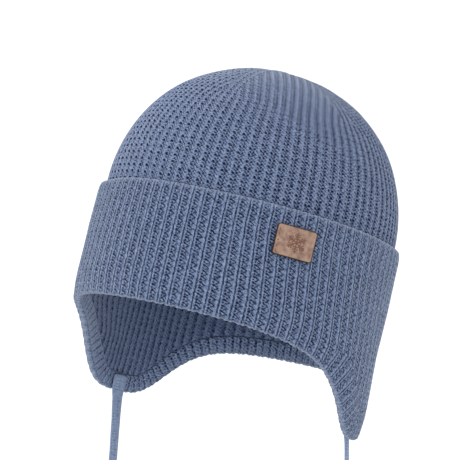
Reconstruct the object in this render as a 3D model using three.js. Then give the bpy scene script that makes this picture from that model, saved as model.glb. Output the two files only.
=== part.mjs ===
// A child's ribbed knit hat: a domed crown, a wide turned-up cuff that grows into two ear flaps,
// a leather patch on the cuff and a flat knitted tie on each flap.
// Millimetres, +Z up, the wearer looks along -Y and the wearer's left is +X.
// The origin is the inside of the crown's top, where the head carries the hat.

import * as THREE from 'three';

// The crown's outer face where the cuff's upper edge crosses it, and its rise above that line
const HALF_WIDTH = 79.6;
const HALF_LENGTH = 86.1;
const CROWN_RISE = 81.4;
const DOME_SQUARENESS = 2.08;

// The knit
const WALL = 3;
const GAP = 0.3;
const RIBS = 84;
const COLUMNS = 2 * RIBS;
const RELIEF = 0.35;

// The cuff's upper edge dips a little here and there: the angle from the front, the depth and the spread
const LINE_Z = -(CROWN_RISE - WALL);
const LINE_FADE = 45;
const lineDips = [
  { angle: -38, depth: 1.6, spread: 18 },
  { angle: 112, depth: 1.0, spread: 26 },
  { angle: 196, depth: 1.2, spread: 30 },
];

// The lower edge, in depths below the cuff's upper edge and degrees from the front. Each flap falls away
// from its middle by a spread and a sharpness of its own in front and behind.
const FRONT_DEPTH = 64.2;
const BACK_DEPTH = 66.4;
const flaps = [
  { side: 'left', middle: 108, depth: 108.8, front: 21.4, frontSharp: 2.9, back: 25.5, backSharp: 3.1 },
  { side: 'right', middle: -105.5, depth: 108.2, front: 23.2, frontSharp: 3.2, back: 22.6, backSharp: 3.8 },
];
const HEM = 9;

// How far the inner layer's outer face stands off the crown's oval, by depth below the cuff's edge
const standOff = [
  { depth: 0, out: 0 },
  { depth: 6, out: 0.5 },
  { depth: 25, out: 0.9 },
  { depth: 60, out: 1.3 },
  { depth: 110, out: 1.9 },
];

// The crown's rings, from the top down: degrees up the dome, columns round it and the share of relief
const domeRings = [
  { rise: 85, columns: RIBS / 3, relief: 0 },
  { rise: 77, columns: RIBS / 2, relief: 0.7 },
  { rise: 69, columns: RIBS, relief: 1 },
  { rise: 60, columns: COLUMNS, relief: 0.8 },
  { rise: 50, columns: COLUMNS, relief: 1 },
  { rise: 40, columns: COLUMNS, relief: 1 },
  { rise: 30, columns: COLUMNS, relief: 1 },
  { rise: 20, columns: COLUMNS, relief: 1 },
  { rise: 10, columns: COLUMNS, relief: 1 },
  { rise: 3, columns: COLUMNS, relief: 0.6 },
];
const domeInnerRings = [
  { rise: 80, columns: RIBS / 3 },
  { rise: 70, columns: RIBS / 2 },
  { rise: 57, columns: RIBS },
  { rise: 43, columns: RIBS },
  { rise: 29, columns: RIBS },
  { rise: 14, columns: RIBS },
];
const innerLayerShares = [0, 0.3, 0.65, 1];

// The cuff's rings, down its outer face and round its lower edge, measured out from the inner layer's face
const CUFF_FACE = GAP + WALL;
const BELT_DEPTH = 25;
const cuffTopRings = [
  { depth: 0, out: 1.3, relief: 0 },
  { depth: 0.9, out: 2.1, relief: 0.5 },
  { depth: 6, out: 2.9, relief: 1 },
];
const beltShares = [0, 0.35, 0.7, 1];
const edgeRings = [
  { rise: 2.4, out: CUFF_FACE, relief: 0.7, columns: COLUMNS },
  { rise: 0.6, out: CUFF_FACE - 1, relief: 0.4, columns: COLUMNS },
  { rise: 0, out: GAP / 2, relief: 0, columns: COLUMNS },
  { rise: 0.6, out: 1 - WALL, relief: 0, columns: RIBS },
  { rise: 2.4, out: -WALL, relief: 0, columns: RIBS },
  { rise: HEM, out: -WALL, relief: 0, columns: RIBS },
  { rise: HEM, out: GAP, relief: 0, columns: RIBS },
];
const insideShares = [0.5, 0];

// The patch, on the wearer's left of the cuff's front
const patch = {
  angle: 52.6, depth: 17.6, width: 22, height: 17, thickness: 1.4, corner: 1.6, bends: 6,
};

// The ties: flat knitted cords, and the points of their middle lines, chosen to hang as they do
const tie = { width: 5.8, thickness: 2.2, sides: 8, stepLength: 6 };
const tieLeftRoute = [
  [70.9, 32.6, -178.0], [71.0, 32.6, -182.0], [71.2, 32.8, -185.5], [71.8, 33.2, -189.5],
  [72.9, 33.9, -196.5], [74.2, 34.8, -204.5], [75.4, 35.6, -212.5], [76.6, 36.4, -220.5],
  [78.3, 37.6, -234.0], [79.8, 38.6, -249.0], [81.0, 39.4, -265.0], [81.7, 39.9, -281.0],
  [82.2, 40.2, -298.0], [82.5, 40.4, -316.0], [82.6, 40.4, -335.0], [82.6, 40.4, -354.0],
  [82.6, 40.4, -371.5],
];
const tieRightRoute = [
  [-74.9, 20.0, -178.0], [-74.7, 20.1, -182.0], [-74.4, 20.3, -185.5], [-73.8, 20.7, -189.5],
  [-72.7, 21.4, -196.5], [-71.4, 22.3, -204.5], [-70.2, 23.1, -212.5], [-69.0, 23.9, -220.5],
  [-67.3, 25.1, -234.0], [-65.8, 26.1, -249.0], [-64.6, 26.9, -265.0], [-63.9, 27.4, -281.0],
  [-63.4, 27.7, -298.0], [-63.1, 27.9, -316.0], [-63.0, 27.9, -335.0], [-63.0, 27.9, -354.0],
  [-63.0, 27.9, -371.5],
];

const degrees = THREE.MathUtils.degToRad;

// Degrees from another angle, between -180 and 180
function turnFrom(angle, other) {
  return THREE.MathUtils.euclideanModulo(angle - other + 180, 360) - 180;
}

// Reads a value out of a table of rows with a depth, straight between its rows
function byDepth(table, depth, key) {
  const next = table.findIndex((row) => row.depth >= depth);
  if (next === 0) return table[0][key];
  if (next === -1) return table[table.length - 1][key];
  const [low, high] = [table[next - 1], table[next]];
  return THREE.MathUtils.mapLinear(depth, low.depth, high.depth, low[key], high[key]);
}

// How deep the lower edge hangs below the cuff's upper edge at an angle from the front
function edgeDepth(angle) {
  const band = THREE.MathUtils.lerp(FRONT_DEPTH, BACK_DEPTH, (1 - Math.cos(degrees(angle))) / 2);
  return flaps.reduce((depth, flap) => {
    const turn = turnFrom(angle, flap.middle) * Math.sign(flap.middle);
    const [spread, sharpness] = turn < 0 ? [flap.front, flap.frontSharp] : [flap.back, flap.backSharp];
    return depth + (flap.depth - band) / (1 + (Math.abs(turn) / spread) ** sharpness);
  }, band);
}

// How much longer a width across the edge measures when it is taken straight down
function edgeSlant(angle) {
  const step = 1;
  const run = degrees(2 * step) * Math.sqrt(HALF_WIDTH * HALF_LENGTH);
  return Math.hypot(1, (edgeDepth(angle + step) - edgeDepth(angle - step)) / run);
}

// The height of a point on the cuff or the inner layer, with the dips of the cuff's upper edge
function heightAt(angle, depth) {
  const fade = Math.max(0, 1 - depth / LINE_FADE);
  const dip = lineDips.reduce(
    (sum, d) => sum + d.depth * Math.exp(-((turnFrom(angle, d.angle) / d.spread) ** 2)), 0);
  return LINE_Z - depth - dip * fade;
}

// A point on the hat's oval, out from the crown's face at the cuff's edge
function onOval(angle, out, z) {
  const a = degrees(angle);
  return [(HALF_WIDTH + out) * Math.sin(a), -(HALF_LENGTH + out) * Math.cos(a), z];
}

// A ring of points round the hat; place gives each column's point from its angle and its relief
function ring(columns, place) {
  return Array.from({ length: columns }, (_, column) => {
    const crest = column % 2 === 0 ? 1 : -1;
    return place((360 * column) / columns, crest * RELIEF);
  });
}

// A ring on the dome, on its outer face or a wall's thickness inside it
function domeRing({ rise, columns, relief = 0 }, wall) {
  const up = degrees(rise);
  const reach = Math.cos(up) ** (2 / DOME_SQUARENESS);
  const z = LINE_Z + (CROWN_RISE - wall) * Math.sin(up) ** (2 / DOME_SQUARENESS);
  return ring(columns, (angle, crest) => {
    const a = degrees(angle);
    const out = crest * relief - wall;
    return [(HALF_WIDTH + out) * reach * Math.sin(a), -(HALF_LENGTH + out) * reach * Math.cos(a), z];
  });
}

// A ring below the cuff's edge; depth and out are functions of the angle
function bandRing(columns, depth, out, relief = 0) {
  return ring(columns, (angle, crest) => {
    const d = depth(angle);
    return onOval(angle, byDepth(standOff, d, 'out') + out + crest * relief, heightAt(angle, d));
  });
}

// Joins two rings of any two counts with triangles, from the higher ring to the lower
function joinRings(upper, lower, triangles) {
  let i = 0;
  let j = 0;
  while (i < upper.length || j < lower.length) {
    const a = upper[i % upper.length];
    const b = lower[j % lower.length];
    if (j * upper.length <= i * lower.length && j < lower.length) {
      j += 1;
      triangles.push(a, b, lower[j % lower.length]);
    } else {
      i += 1;
      triangles.push(a, b, upper[i % upper.length]);
    }
  }
}

function geometryOf(triangles) {
  const geometry = new THREE.BufferGeometry();
  geometry.setAttribute('position', new THREE.Float32BufferAttribute(triangles.flat(), 3));
  geometry.computeVertexNormals();
  return geometry;
}

// The crown: the dome's outer face, down behind the cuff, round the inner layer's foot and up inside
function crownGeometry() {
  const foot = (angle) => edgeDepth(angle) - (HEM + GAP) * edgeSlant(angle);
  const depthAt = (share) => (angle) => share * foot(angle);
  const rings = [
    ...domeRings.map((row) => domeRing(row, 0)),
    ...innerLayerShares.map((share) => bandRing(RIBS, depthAt(share), 0)),
    ...innerLayerShares.toReversed().map((share) => bandRing(RIBS, depthAt(share), -WALL)),
    ...domeInnerRings.toReversed().map((row) => domeRing(row, WALL)),
  ];
  const triangles = [];
  const top = [0, 0, LINE_Z + CROWN_RISE];
  const topInside = [0, 0, LINE_Z + CROWN_RISE - WALL];
  const first = rings[0];
  const last = rings[rings.length - 1];
  first.forEach((point, k) => triangles.push(top, point, first[(k + 1) % first.length]));
  rings.slice(1).forEach((lower, k) => joinRings(rings[k], lower, triangles));
  last.forEach((point, k) => triangles.push(topInside, last[(k + 1) % last.length], point));
  return geometryOf(triangles);
}

// The cuff and the flaps: down the outer face, round the lower edge, up the hem and up the inner face
function cuffGeometry() {
  const at = (depth) => () => depth;
  const above = (rise) => (angle) => edgeDepth(angle) - rise * edgeSlant(angle);
  const hemTop = above(HEM);
  const between = (share) => (angle) => THREE.MathUtils.lerp(BELT_DEPTH, hemTop(angle), share);
  const rings = [
    ...cuffTopRings.map((row) => bandRing(COLUMNS, at(row.depth), row.out, row.relief)),
    ...beltShares.map((share) => bandRing(COLUMNS, between(share), CUFF_FACE, 1)),
    ...edgeRings.map((row) => bandRing(row.columns, above(row.rise), row.out, row.relief)),
    ...insideShares.map((share) => bandRing(RIBS, between(share), GAP)),
    ...cuffTopRings.slice(1).toReversed().map((row) => bandRing(RIBS, at(row.depth), GAP)),
  ];
  const triangles = [];
  rings.forEach((upper, k) => joinRings(upper, rings[(k + 1) % rings.length], triangles));
  return geometryOf(triangles);
}

// The patch: a flat leather plate with rounded corners, bent to the cuff
function patchGeometry() {
  const { width, height, corner, thickness } = patch;
  const [x, y] = [width / 2, height / 2];
  const outline = new THREE.Shape();
  for (let k = 0; k <= patch.bends; k += 1) {
    const along = THREE.MathUtils.lerp(-x + corner, x - corner, k / patch.bends);
    if (k === 0) outline.moveTo(along, -y);
    else outline.lineTo(along, -y);
  }
  outline.lineTo(x, -y + corner);
  outline.lineTo(x, y - corner);
  for (let k = patch.bends; k >= 0; k -= 1) {
    outline.lineTo(THREE.MathUtils.lerp(-x + corner, x - corner, k / patch.bends), y);
  }
  outline.lineTo(-x, y - corner);
  outline.lineTo(-x, -y + corner);
  const plate = new THREE.ExtrudeGeometry(outline, { depth: thickness, bevelEnabled: false });
  const position = plate.getAttribute('position');
  const middle = degrees(patch.angle);
  const speed = Math.hypot(HALF_WIDTH * Math.cos(middle), HALF_LENGTH * Math.sin(middle));
  for (let k = 0; k < position.count; k += 1) {
    const angle = patch.angle + THREE.MathUtils.radToDeg(position.getX(k) / speed);
    const depth = patch.depth - position.getY(k);
    const seat = byDepth(standOff, depth, 'out') + GAP + WALL + RELIEF + GAP;
    position.setXYZ(k, ...onOval(angle, seat + position.getZ(k), heightAt(angle, depth)));
  }
  plate.computeVertexNormals();
  return plate;
}

// A tie: an oval section along its route, with its flat side against the flap's inner face
function tieGeometry(route) {
  const path = new THREE.CatmullRomCurve3(route.map((point) => new THREE.Vector3(...point)));
  const steps = Math.round(path.getLength() / tie.stepLength);
  const frames = path.computeFrenetFrames(steps, false);
  const outward = new THREE.Vector3(route[0][0] / HALF_WIDTH ** 2, route[0][1] / HALF_LENGTH ** 2, 0);
  outward.normalize();
  const flatTurn = Math.atan2(outward.dot(frames.binormals[0]), outward.dot(frames.normals[0]));
  const section = new THREE.Shape();
  for (let k = 0; k < tie.sides; k += 1) {
    const turn = (2 * Math.PI * (k + 0.5)) / tie.sides;
    const across = (tie.thickness / 2) * Math.cos(turn) / Math.cos(Math.PI / tie.sides);
    const along = (tie.width / 2) * Math.sin(turn) / Math.cos(Math.PI / tie.sides);
    const x = across * Math.cos(flatTurn) - along * Math.sin(flatTurn);
    const y = across * Math.sin(flatTurn) + along * Math.cos(flatTurn);
    if (k === 0) section.moveTo(x, y);
    else section.lineTo(x, y);
  }
  return new THREE.ExtrudeGeometry(section, { steps, bevelEnabled: false, extrudePath: path });
}

const knit = new THREE.MeshStandardMaterial({ color: 0x7486a6, roughness: 0.95, metalness: 0 });
const innerKnit = new THREE.MeshStandardMaterial({ color: 0x6c7e9e, roughness: 0.95, metalness: 0 });
const tieKnit = new THREE.MeshStandardMaterial({ color: 0x7d8fae, roughness: 0.95, metalness: 0 });
const leather = new THREE.MeshStandardMaterial({ color: 0xb08b78, roughness: 0.6, metalness: 0 });

const hat = new THREE.Group();

function add(name, geometry, material) {
  const mesh = new THREE.Mesh(geometry, material);
  mesh.name = name;
  hat.add(mesh);
}

add('crown', crownGeometry(), innerKnit);
add('cuff', cuffGeometry(), knit);
add('patch', patchGeometry(), leather);
add('tie_left', tieGeometry(tieLeftRoute), tieKnit);
add('tie_right', tieGeometry(tieRightRoute), tieKnit);

export default hat;
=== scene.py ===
"""A child's ribbed knit hat with ear flaps, flat knitted ties and a small leather patch.

The solids of the hat are the frame. Every shape here is worked out in millimetres, from the same
sizes as the solids, and goes into its mesh in metres.
"""

import math
from collections import namedtuple

import bpy
import numpy as np
from mathutils import Matrix, Vector


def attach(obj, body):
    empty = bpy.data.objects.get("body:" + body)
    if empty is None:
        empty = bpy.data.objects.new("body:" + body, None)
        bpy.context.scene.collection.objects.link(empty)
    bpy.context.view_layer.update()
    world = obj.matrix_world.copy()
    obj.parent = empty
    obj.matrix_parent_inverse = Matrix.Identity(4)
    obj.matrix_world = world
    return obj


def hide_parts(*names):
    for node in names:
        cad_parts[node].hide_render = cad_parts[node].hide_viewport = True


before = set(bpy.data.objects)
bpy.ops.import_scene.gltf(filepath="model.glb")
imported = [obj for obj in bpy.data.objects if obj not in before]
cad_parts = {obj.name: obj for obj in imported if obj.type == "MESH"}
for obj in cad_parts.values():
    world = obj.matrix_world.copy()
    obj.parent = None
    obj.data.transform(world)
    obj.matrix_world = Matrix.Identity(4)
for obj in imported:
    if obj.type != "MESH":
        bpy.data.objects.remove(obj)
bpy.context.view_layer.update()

MM = 0.001
bpy.ops.object.select_all(action="DESELECT")


# Sizes of the hat, in millimetres and in degrees from the front towards the wearer's left

HALF_WIDTH = 79.6
HALF_LENGTH = 86.1
CROWN_RISE = 81.4
DOME_SQUARENESS = 2.08
DOME_LEAN = (0.6, 0.4)
WALL = 3.0
GAP = 0.3
LINE_Z = -(CROWN_RISE - WALL)
CUFF_FACE = GAP + WALL
HEM = 10.2
BORDER = 10.0

# How far up the dome's face looks: at its foot, halfway and at the pole
DOME_UPNESS = [0, 0.55, 1]

# How the cuff's upper edge dips, and how the lower edge hangs down into each flap
Dip = namedtuple("Dip", "angle depth spread")
LINE_DIPS = [Dip(-44, 1.9, 21), Dip(112, 1.0, 26), Dip(196, 1.2, 30)]
LINE_FADE = 45.0
FRONT_DEPTH = 64.2
BACK_DEPTH = 66.4
Flap = namedtuple("Flap", "middle depth front front_sharp back back_sharp")
FLAPS = [Flap(108, 108.8, 21.4, 2.6, 25.5, 3.0), Flap(-105.5, 108.2, 24.0, 3.5, 23.8, 3.4)]

# How far the inner layer stands off the crown's oval on each side, by depth below the cuff's edge
STAND_OFF_DEPTHS = [0, 6, 25, 60, 110]
STAND_OFFS_LEFT = [0, 0.5, 0.3, 0.5, 2.5]
STAND_OFFS_RIGHT = [0, 0.5, 1.5, 1.1, 2.6]

# The folded layers press together towards the lower edge: the share lost there, and how far it reaches
EDGE_THINNING = 0.35
THINNING_REACH = 7.0

# The knit's slow unevenness: waves in and out, so many to a turn, that drift round on their way down
Sway = namedtuple("Sway", "reach turns drift phase")
SWAYS = [Sway(0.16, 3, 0.05, 0.0), Sway(0.112, 7, -0.08, 1.3), Sway(0.08, 13, 0.13, 0.4)]

# The knit: ribs round the hat, their pitch, and the height of a row of stitches
RIBS = 85
RIB_PITCH = 6.2
CUFF_ROW = 3.1
CROWN_ROW = 3.83
INNER_ROW = 3.6

# The crown's decreases: lines of ribs that run to the pole, and where they begin, up the dome
DECREASE_RIBS = [2, 18, 35, 52, 69]
DECREASE_START = 58.0
DECREASE_BLEND = 8.0
DECREASE_CLOSE = 0.85

# Ribs bend to meet the lower edge square within twice this distance of it
BEND = 9.0

# In each flap a border of short ribs follows the edge: where it runs, its width, and how it begins
FLAP_BORDERS = [(74, 143), (219, 286)]
MITRE_WIDTH = 17.0
MITRE_START = 5.0
MITRE_RAMP = 11.0


# Colours are sRGB hex values

def colour(hex_value):
    """Turns an sRGB hex value into the linear colour that a shader reads."""
    parts = [int(hex_value[k:k + 2], 16) / 255 for k in (0, 2, 4)]
    linear = [p / 12.92 if p <= 0.04045 else ((p + 0.055) / 1.055) ** 2.4 for p in parts]
    return (*linear, 1.0)


# The camera, at the photograph's angle

CAMERA_AZIMUTH = math.radians(33.7)
CAMERA_ELEVATION = math.radians(-5.95)
CAMERA_ROLL = math.radians(13.35)
CAMERA_DISTANCE = 1.76
FRAME_WIDTH = 0.2556
HAT_MIDDLE = Vector((0, 0, -0.0984))
AIM_RIGHT = -0.00979
AIM_UP = 0.00976
SENSOR = 36.0


def make_camera():
    level = math.cos(CAMERA_ELEVATION)
    back = Vector((
        math.sin(CAMERA_AZIMUTH) * level,
        -math.cos(CAMERA_AZIMUTH) * level,
        math.sin(CAMERA_ELEVATION),
    ))
    right = Vector((math.cos(CAMERA_AZIMUTH), math.sin(CAMERA_AZIMUTH), 0))
    up = back.cross(right)
    across = right * math.cos(CAMERA_ROLL) + up * math.sin(CAMERA_ROLL)
    upward = up * math.cos(CAMERA_ROLL) - right * math.sin(CAMERA_ROLL)
    aim = HAT_MIDDLE + right * AIM_RIGHT + up * AIM_UP
    data = bpy.data.cameras.new("camera")
    data.sensor_width = SENSOR
    data.lens = SENSOR * CAMERA_DISTANCE / FRAME_WIDTH
    data.clip_start = 0.05
    data.clip_end = 50
    camera = bpy.data.objects.new("camera", data)
    bpy.context.scene.collection.objects.link(camera)
    turned = Matrix((across, upward, back)).transposed().to_4x4()
    turned.translation = aim + back * CAMERA_DISTANCE
    camera.matrix_world = turned
    bpy.context.scene.camera = camera


make_camera()


# Shapes of the hat, all on arrays of angles and depths

def turn_from(angle, other):
    """Degrees from another angle, between -180 and 180."""
    return (angle - other + 180) % 360 - 180


def ease(low, high, value):
    """Rises smoothly from 0 at low to 1 at high."""
    share = np.clip((value - low) / (high - low), 0, 1)
    return share * share * (3 - 2 * share)


def edge_depth(angle):
    """How deep the lower edge hangs below the cuff's upper edge."""
    band = FRONT_DEPTH + (BACK_DEPTH - FRONT_DEPTH) * (1 - np.cos(np.radians(angle))) / 2
    depth = band
    for flap in FLAPS:
        turn = turn_from(angle, flap.middle) * np.sign(flap.middle)
        spread = np.where(turn < 0, flap.front, flap.back)
        sharp = np.where(turn < 0, flap.front_sharp, flap.back_sharp)
        depth = depth + (flap.depth - band) / (1 + (np.abs(turn) / spread) ** sharp)
    return depth


def height_at(angle, depth):
    fade = np.maximum(0, 1 - depth / LINE_FADE)
    dip = sum(d.depth * np.exp(-((turn_from(angle, d.angle) / d.spread) ** 2)) for d in LINE_DIPS)
    return LINE_Z - depth - dip * fade


def sway(angle, depth):
    """How far the slow waves, which both layers share, move the knit out."""
    a = np.radians(angle)
    return sum(w.reach * np.sin(w.turns * a + w.drift * depth + w.phase) for w in SWAYS)


def on_oval(angle, out, depth):
    """A point at a depth below the cuff's edge, out from the inner layer's outer face."""
    a = np.radians(angle)
    leftness = (1 + np.sin(a)) / 2
    stand_left = np.interp(depth, STAND_OFF_DEPTHS, STAND_OFFS_LEFT)
    stand_right = np.interp(depth, STAND_OFF_DEPTHS, STAND_OFFS_RIGHT)
    slope = (edge_depth(angle + 1) - edge_depth(angle - 1)) / (2 * math.radians(1) * HALF_WIDTH)
    inset = np.maximum(0, edge_depth(angle) - depth) / np.hypot(1, slope)
    thin = 1 - EDGE_THINNING * np.exp(-((inset / THINNING_REACH) ** 2))
    reach = leftness * stand_left + (1 - leftness) * stand_right + out * thin + sway(angle, depth)
    x = (HALF_WIDTH + reach) * np.sin(a)
    y = -(HALF_LENGTH + reach) * np.cos(a)
    return np.stack(np.broadcast_arrays(x, y, height_at(angle, depth)), -1)


def dome_profile(wall=0.0):
    """Arc lengths up the dome from the cuff's line, with its reach and height there."""
    rise = np.radians(np.linspace(0, 90, 1801))
    reach = np.cos(rise).clip(0, 1) ** (2 / DOME_SQUARENESS)
    height = (CROWN_RISE - wall) * np.sin(rise) ** (2 / DOME_SQUARENESS)
    mean = (HALF_WIDTH + HALF_LENGTH) / 2
    steps = np.hypot(np.diff(reach * mean), np.diff(height))
    return np.concatenate([[0], np.cumsum(steps)]), reach, height


def on_dome(angle, arc, out, wall=0.0):
    arcs, reaches, heights = dome_profile(wall)
    a = np.radians(angle)
    reach = np.interp(arc, arcs, reaches)
    height = np.interp(arc, arcs, heights)
    upness = np.interp(arc / arcs[-1], [0, 0.5, 1], DOME_UPNESS)
    side = np.sqrt(np.maximum(0, 1 - upness ** 2)) * out - wall * reach
    lean = (height / CROWN_RISE) ** 2
    x = (HALF_WIDTH * reach + side) * np.sin(a) + DOME_LEAN[0] * lean
    y = -(HALF_LENGTH * reach + side) * np.cos(a) + DOME_LEAN[1] * lean
    return np.stack(np.broadcast_arrays(x, y, LINE_Z + height + upness * out), -1)


# The knit's relief, from tables of the marks that its stitches leave

# A mark is an oval in the repeat of one rib by one row: its middle and half-sizes in millimetres,
# its tilt in degrees, how far it dents the mesh and the shading, how dark it is, as painted shade in
# the knit's holes and trenches (below zero, a painted highlight on a raised strand), and whether it
# is one of the stitches that fade out where the knit is drawn tight
Mark = namedtuple("Mark", "across down width height tilt dent bump dark stitch")

ALL_DOWN = 60.0
CUFF_MARKS = [
    Mark(0.2, 0.0, 0.46, ALL_DOWN, 0, 0.12, 0.14, 0.46, 0),
    Mark(3.1, 0.0, 1.9, ALL_DOWN, 0, 0.45, 0.0, 0.14, 0),
    Mark(2.15, 0.15, 0.72, 0.52, 12, 0.28, 0.22, 0.80, 1),
    Mark(1.95, 1.72, 0.52, 0.42, -12, 0.18, 0.18, 0.62, 1),
    Mark(3.35, 0.72, 0.90, 0.30, 26, 0.14, 0.16, 0.52, 1),
    Mark(3.45, 2.20, 0.85, 0.28, -24, 0.12, 0.16, 0.46, 1),
    Mark(4.35, 1.42, 0.48, 0.42, 0, 0.15, 0.16, 0.56, 1),
    Mark(2.75, 1.25, 0.55, 0.28, -20, -0.14, -0.12, -0.30, 1),
    Mark(0.95, 1.5, 0.30, 1.0, 18, -0.04, -0.06, -0.12, 1),
    Mark(5.55, 0.3, 0.30, 1.0, -18, -0.04, -0.06, -0.12, 1),
]
CROWN_MARKS = [
    Mark(0.1, 0.0, 1.75, ALL_DOWN, 0, 0.80, 0.0, 0.06, 0),
    Mark(-1.0, 0.0, 0.82, 0.70, -25, 0.28, 0.26, 0.85, 1),
    Mark(-0.6, 1.95, 0.56, 0.46, -25, 0.16, 0.18, 0.50, 1),
    Mark(0.30, -0.75, 1.00, 0.34, -30, 0.16, 0.20, 0.44, 1),
    Mark(0.40, 1.20, 0.90, 0.34, -30, 0.16, 0.20, 0.44, 1),
    Mark(1.40, 0.10, 0.74, 0.64, 15, 0.26, 0.24, 0.85, 1),
    Mark(1.20, 2.10, 0.62, 0.54, 15, 0.20, 0.20, 0.70, 1),
    Mark(-0.6, 0.98, 0.60, 0.30, -22, -0.18, -0.14, -0.26, 1),
    Mark(2.6, 0.95, 1.20, 0.34, -36, 0.16, 0.20, 0.46, 1),
    Mark(2.8, 2.85, 1.20, 0.34, -36, 0.16, 0.20, 0.46, 1),
]
INSIDE_MARKS = [
    Mark(0.1, 0.0, 1.45, ALL_DOWN, 0, 0.80, 0.0, 0.34, 0),
    Mark(-0.6, 0.0, 0.80, 0.66, -20, 0.24, 0.20, 0.50, 1),
    Mark(2.3, 0.95, 1.25, 0.36, -34, 0.12, 0.20, 0.46, 1),
    Mark(2.5, 2.85, 1.25, 0.36, -34, 0.12, 0.20, 0.46, 1),
]
HEM_PITCH = 4.5
HEM_ROW = 3.6
HEM_MARKS = [
    Mark(0.0, 0.0, 0.75, ALL_DOWN, 0, 0.28, 0.04, 0.20, 0),
    Mark(-0.1, 0.0, 0.60, 0.72, 15, 0.14, 0.18, 0.55, 1),
    Mark(0.5, 1.8, 1.05, 0.38, 30, 0.10, 0.18, 0.45, 1),
    Mark(2.1, 0.9, 0.85, 0.32, 40, 0.08, 0.16, 0.36, 1),
    Mark(2.2, 2.7, 0.75, 0.32, 40, 0.08, 0.16, 0.34, 1),
]
TIE_PITCH = 1.95
TIE_ROW = 1.7
TIE_MARKS = [
    Mark(0.0, 0.0, 0.22, ALL_DOWN, 0, 0.10, 0.12, 0.25, 0),
    Mark(0.62, 0.0, 0.52, 0.22, 38, 0.05, 0.12, 0.34, 1),
    Mark(-0.62, 0.0, 0.52, 0.22, -38, 0.05, 0.12, 0.34, 1),
]
SOFT_FROM = 0.5
SOFT_TO = 1.3


def wrap(value, period):
    return (value + period / 2) % period - period / 2


def dents(marks, places, pitch, row, stitch=1.0):
    """How far the marks sink the face, at places given as millimetres across and down the knit."""
    total = 0.0
    for mark in marks:
        across = wrap(places[..., 0] - mark.across, pitch)
        down = wrap(places[..., 1] - mark.down, row)
        tilt = math.radians(mark.tilt)
        u = (across * math.cos(tilt) + down * math.sin(tilt)) / mark.width
        v = (down * math.cos(tilt) - across * math.sin(tilt)) / mark.height
        mask = 1 - ease(SOFT_FROM, SOFT_TO, np.hypot(u, v))
        total = total + mark.dent * mask * (stitch if mark.stitch else 1.0)
    return total


# Meshes of rings

FULL_TURN = np.array([360.0, 0.0])


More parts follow.
